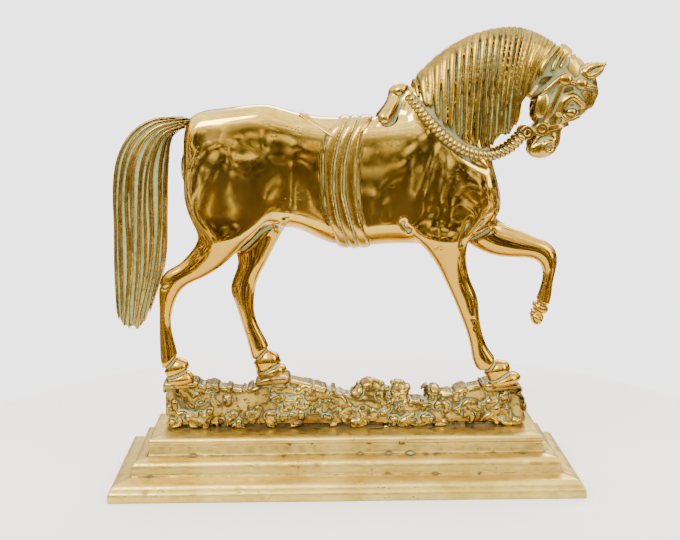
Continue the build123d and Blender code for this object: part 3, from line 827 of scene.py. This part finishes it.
# Raised pads under the standing hooves, in side view.
HOOF_PADS = (((-98, 54.6), (-84, 55.4)), ((-49, 56.4), (-34, 57.4)), ((80, 51.6), (96, 53.4)))
PLINTH_TOP = 28.8


def ground_relief():
    """Dribbled blobs of metal standing on a sunken ground, with round pearls and hoof pads."""
    relief = Relief((-108, 24), (110, 64))
    blobs = 210
    random = np.random.default_rng(7)
    for _ in range(blobs):
        x, z = random.uniform(-101, 101), random.uniform(29, 57)
        size = random.uniform(1.0, 3.2)
        line = np.array([(x, z)]) + np.cumsum(random.normal(0, 1.5, (4, 2)), axis=0)
        relief.ridge(curve(line, 8), size * np.linspace(1.0, 0.5, 8), random.uniform(1.0, 2.2))
    for x, z, radius in PEARLS:
        relief.ridge(((x - 0.2, z), (x + 0.2, z)), radius, 2.4)
    for line in HOOF_PADS:
        relief.ridge(line, 3.6, 2.6)
    relief.height -= 1.5
    return relief


def make_ground():
    grid = grid_round(["rocky_ground"], HAIR_STEP, 4.0)
    own = soften(node_field("rocky_ground", grid, 6.0), 2, 2)
    own = own - ground_relief().on(grid)
    own = np.maximum(own, -(grid.z - node_box("rocky_ground")[0][2]))
    touching = [node_field(name, grid) for name in STANDING_LEGS]
    hollow = np.minimum.reduce([own, grid.z - PLINTH_TOP + 0 * own] + touching)
    piece = cast("rocky_ground_casting", own, grid, hollow)
    finish_piece(piece, "rocky_ground", ground_metal)


# Moulding of the plinth from its foot up: how far in from the edge, how high, how tarnished.
MOULDING = (
    (0.5, 0.0, 0.3), (0.0, 0.6, 0.1), (0.0, 2.4, 0.0), (0.0, 4.2, 0.1), (0.4, 5.0, 0.5), (0.9, 5.6, 0.3),
    (1.2, 6.8, 0.0), (1.8, 8.0, 0.0), (2.8, 8.9, 0.0), (4.2, 9.4, 0.0), (6.4, 9.7, 0.1), (8.8, 10.0, 0.2),
    (10.4, 10.4, 0.6), (11.1, 11.0, 0.8), (11.4, 12.0, 0.2), (11.4, 13.6, 0.0), (11.5, 15.4, 0.0),
    (11.9, 16.8, 0.0), (12.8, 17.8, 0.0), (14.0, 18.4, 0.1), (16.0, 18.7, 0.2), (18.2, 19.0, 0.6),
    (19.2, 19.6, 0.9), (19.6, 20.6, 0.4), (19.9, 22.4, 0.1), (20.2, 24.2, 0.3), (20.4, 25.0, 0.6),
    (19.9, 25.6, 0.3), (19.7, 26.4, 0.0), (19.8, 27.4, 0.0), (20.4, 28.3, 0.0), (21.6, 28.8, 0.1),
    (26.0, 28.9, 0.2), (34.0, 28.9, 0.4), (43.9, 28.9, 0.6),
)
UNDERSIDE = ((43.9, 24.8), (24.0, 24.8), (24.0, 14.2), (15.6, 14.2), (15.6, 5.0), (4.2, 5.0), (4.2, 0.0))


def plinth_outline(ends=74, sides=220):
    """Points round a square of half size 1, counter-clockwise, as many on each side as given."""
    around = []
    for sx, sy, ex, ey, count in ((-1, -1, 1, -1, sides), (1, -1, 1, 1, ends), (1, 1, -1, 1, sides),
                                  (-1, 1, -1, -1, ends)):
        for i in range(count):
            t = i / count
            around.append((sx + (ex - sx) * t, sy + (ey - sy) * t))
    return np.array(around)


def dent_depth(x, y, z, dents):
    """How far the small knocks push the moulding in at each point."""
    shift = np.zeros_like(x)
    for dx, side, dz, size in dents:
        gap = np.hypot(x - dx, (z - dz) * 1.2) + 50 * (np.sign(y) != side)
        shift += 0.55 * np.exp(-(gap / size) ** 2)
    return shift


def make_plinth():
    """Moulding swept round the plinth's outline, slightly dented, over a hollow underside."""
    half_x, half_y = node_box("plinth")[1][:2]
    around = plinth_outline()
    rings = np.vstack([MOULDING, [(inset, z, 0.6) for inset, z in UNDERSIDE]])
    moulded, highest = 23, 28.5          # the knocks and waves stop at this inset and this height
    random = np.random.default_rng(3)
    dents = []
    for _ in range(90):
        along, side = random.uniform(-130, 130), random.choice((-1, 1))
        dents.append((along, side, random.uniform(0, 27), random.uniform(0.8, 2.0)))
    points, hollows = [], []
    for inset, z, dirt in rings:
        x = around[:, 0] * (half_x - inset)
        y = around[:, 1] * (half_y - inset)
        ripple, swing = np.sin(x / 9.0 + z * 0.5), np.sin(x / 23.0 - z * 0.9)
        wave = 0.07 * ripple + 0.12 * swing + 0.07 * np.sin(y / 8.0 + z)
        shift = dent_depth(x, y, z, dents if inset < moulded else [])
        lift = wave * (0 < z < highest) * (inset < moulded)
        points.append(np.stack([x * (1 - shift / half_x), y * (1 - (shift + 0.5 * lift + 0.1) / half_y),
                                np.clip(z + 0.8 * lift, 0, None) + 0 * x], 1))
        hollows.append(dirt + 1.0 * shift)
    faces = band_faces(len(rings), len(around), closed=True)
    piece = mesh_object("plinth_casting", np.vstack(points), faces, np.concatenate(hollows))
    finish_piece(piece, "plinth", plinth_metal)


# Route of the rein from the saddle forward to the bit: x, z, distance from the middle.
REIN = (
    (33.0, 212.0, 11.8), (41.5, 201.0, 15.6), (52.0, 190.0, 16.4), (62.0, 183.4, 14.6),
    (72.0, 180.2, 11.6), (80.0, 180.0, 8.0), (88.0, 183.4, 6.4), (95.0, 189.8, 6.2),
)


def rope_swell(length, angle):
    """How full the rope is there, 0 in the slanting notch between two turns."""
    pitch = 2.7
    return abs(math.sin(length * math.pi / pitch + angle / 2)) ** 0.6


def make_rein(name, side):
    """Rope rein: a tube whose radius swells between slanting notches, twisting along the path."""
    core, swelling = 1.9, 1.0
    around = 20
    path = curve([(x, side * y, z) for x, z, y in REIN], 300)
    last = len(path) - 1
    length = np.concatenate([[0], np.cumsum(np.linalg.norm(np.diff(path, axis=0), axis=1))])
    points, hollows = [], []
    for i, point in enumerate(path):
        way = path[min(i + 1, last)] - path[max(i - 1, 0)]
        way = way / np.linalg.norm(way)
        up = np.cross(way, np.array([0.0, side, 0.0]))
        up /= np.linalg.norm(up)
        out = np.cross(up, way)
        for j in range(around):
            angle = 2 * math.pi * j / around
            swell = rope_swell(length[i], angle)
            radius = core + swelling * swell
            points.append(point + radius * (math.cos(angle) * up + math.sin(angle) * out))
            hollows.append(1.3 - 1.5 * swell)
    faces = band_faces(len(path), around)
    faces.append(tuple(range(around))[::-1])
    faces.append(tuple(last * around + j for j in range(around)))
    piece = mesh_object(name + "_rope", np.array(points), faces, np.array(hollows))
    finish_piece(piece, name, tack_metal)


make_horse()
make_head()
make_mane()
make_tail()
make_tack()
make_ground()
make_plinth()
make_rein("near_rein", NEAR)
make_rein("off_rein", OFF)

# Hidden fixings keep their CAD meshes and only take a material.
CARRIED = {"joint_pins": pin_metal, "hoof_pins": pin_metal,
           "fixing_studs": steel, "washers": steel, "nuts": steel}
for name, material in CARRIED.items():
    nodes[name].data.materials.clear()
    nodes[name].data.materials.append(material)


# ---- stage --------------------------------------------------------------------------------
def paper():
    material = bpy.data.materials.new("floor_paper")
    n = Nodes(material)
    place = n.add("ShaderNodeTexCoord").outputs["Object"]
    tone = n.mix(n.noise(place, 3.0, 2), colour(0.80, 0.80, 0.79), colour(0.83, 0.83, 0.82))
    shader = n.add("ShaderNodeBsdfPrincipled", {"Base Color": tone, "Roughness": 0.8})
    n.add("ShaderNodeOutputMaterial", {"Surface": shader.outputs[0]})
    return material


def make_floor():
    """Round sheet of pale paper, small enough for the dark room to show in the horse's flanks."""
    rings = (0.1, 0.2, 0.27)
    around = 96
    points = [(0.0, 0.0, 0.0)]
    faces = []
    for ring, radius in enumerate(rings):
        for i in range(around):
            angle = 2 * math.pi * i / around
            points.append((radius * math.cos(angle), radius * math.sin(angle), 0.0))
            a, b = 1 + ring * around + i, 1 + ring * around + (i + 1) % around
            faces.append((0, a, b) if ring == 0 else (a - around, a, b, b - around))
    mesh = bpy.data.meshes.new("floor")
    mesh.from_pydata(points, [], faces)
    mesh.materials.append(paper())
    floor = link_object("floor", mesh)


def make_light(name, place, target, size, power, tint=(1, 1, 1)):
    data = bpy.data.lights.new(name, "AREA")
    data.shape = "RECTANGLE"
    data.size, data.size_y = size
    data.energy = power
    data.color = tint
    lamp = link_object(name, data)
    lamp.location = place
    lamp.rotation_euler = (Vector(target) - Vector(place)).to_track_quat("-Z", "Y").to_euler()


# The room from floor to ceiling: share of the way up, colour.
ROOM = (
    (0.0, (0.26, 0.18, 0.08)), (0.36, (0.08, 0.056, 0.03)), (0.48, (0.026, 0.021, 0.014)),
    (0.60, (0.034, 0.028, 0.018)), (0.645, (0.12, 0.10, 0.06)), (0.685, (0.44, 0.39, 0.30)),
    (0.76, (0.85, 0.82, 0.76)), (1.0, (1.0, 1.0, 1.0)),
)


def room_ramp(n, height):
    ramp = n.add("ShaderNodeValToRGB", {0: height})
    elements = ramp.color_ramp.elements
    elements[0].position = 0.0
    elements[1].position = 1.0
    for position, _ in ROOM[1:-1]:
        elements.new(position)
    for element, (position, tint) in zip(elements, ROOM):
        element.position = position
        element.color = (*tint, 1)
    return ramp.outputs[0]


def make_world():
    """Studio as brass mirrors it: bright ceiling, dark ragged room at eye level, lit patches.

    The lens itself sees only plain pale paper behind the object.
    """
    mirrored_strength, seen_strength = 2.9, 3.2
    world = bpy.data.worlds.new("studio")
    bpy.context.scene.world = world
    n = Nodes(world)
    way = n.add("ShaderNodeTexCoord").outputs["Generated"]
    up = n.add("ShaderNodeSeparateXYZ", {0: way}).outputs["Z"]
    half = n.math("MULTIPLY_ADD", up, 0.5, 0.39)
    ragged = n.noise(way, 2.6, 3.0, 0.5, 0.6)
    room = room_ramp(n, n.math("MULTIPLY_ADD", ragged, 0.22, half))
    patches = n.span(n.noise(way, 5.0, 2.0, 0.5, 2.2), 0.54, 0.59)
    lit = n.mix(patches, room, colour(0.80, 0.66, 0.40), "ADD")
    mirrored = n.add("ShaderNodeBackground", {"Color": lit, "Strength": mirrored_strength})
    seen = n.add("ShaderNodeBackground", {"Color": (1, 1, 1, 1), "Strength": seen_strength})
    direct = n.add("ShaderNodeLightPath").outputs["Is Camera Ray"]
    choose = n.add("ShaderNodeMixShader", {0: direct, 1: mirrored.outputs[0], 2: seen.outputs[0]})
    n.add("ShaderNodeOutputWorld", {"Surface": choose.outputs[0]})


def make_camera():
    """Long lens somewhat above the horse's back, a touch left of centre; angles in radians."""
    place = Vector((-16.9, -620.6, 230.8)) * MM
    yaw, pitch, roll = 0.02274, 0.18188, -0.00317
    level = math.cos(pitch)
    ahead = Vector((math.sin(yaw) * level, math.cos(yaw) * level, -math.sin(pitch)))
    side = Vector((math.cos(yaw), -math.sin(yaw), 0))
    over = side.cross(ahead)
    right = math.cos(roll) * side + math.sin(roll) * over
    up = math.cos(roll) * over - math.sin(roll) * side
    data = bpy.data.cameras.new("camera")
    data.sensor_width = 36.0
    data.lens = 60.882353
    data.clip_start, data.clip_end = 0.01, 50.0
    camera = link_object("camera", data)
    turn = Matrix((right, up, -ahead)).transposed()
    camera.matrix_world = Matrix.Translation(place) @ turn.to_4x4()
    bpy.context.scene.camera = camera


make_floor()
make_world()
make_light("key", (-0.5, -0.7, 1.0), (0, 0, 0.12), (0.7, 0.5), 20, (1.0, 0.97, 0.92))
make_light("fill", (0.8, -0.5, 0.5), (0, 0, 0.12), (0.3, 0.8), 5, (1.0, 0.95, 0.88))
make_light("rim", (0.2, 0.8, 0.7), (0, 0, 0.15), (0.8, 0.3), 8)
make_camera()
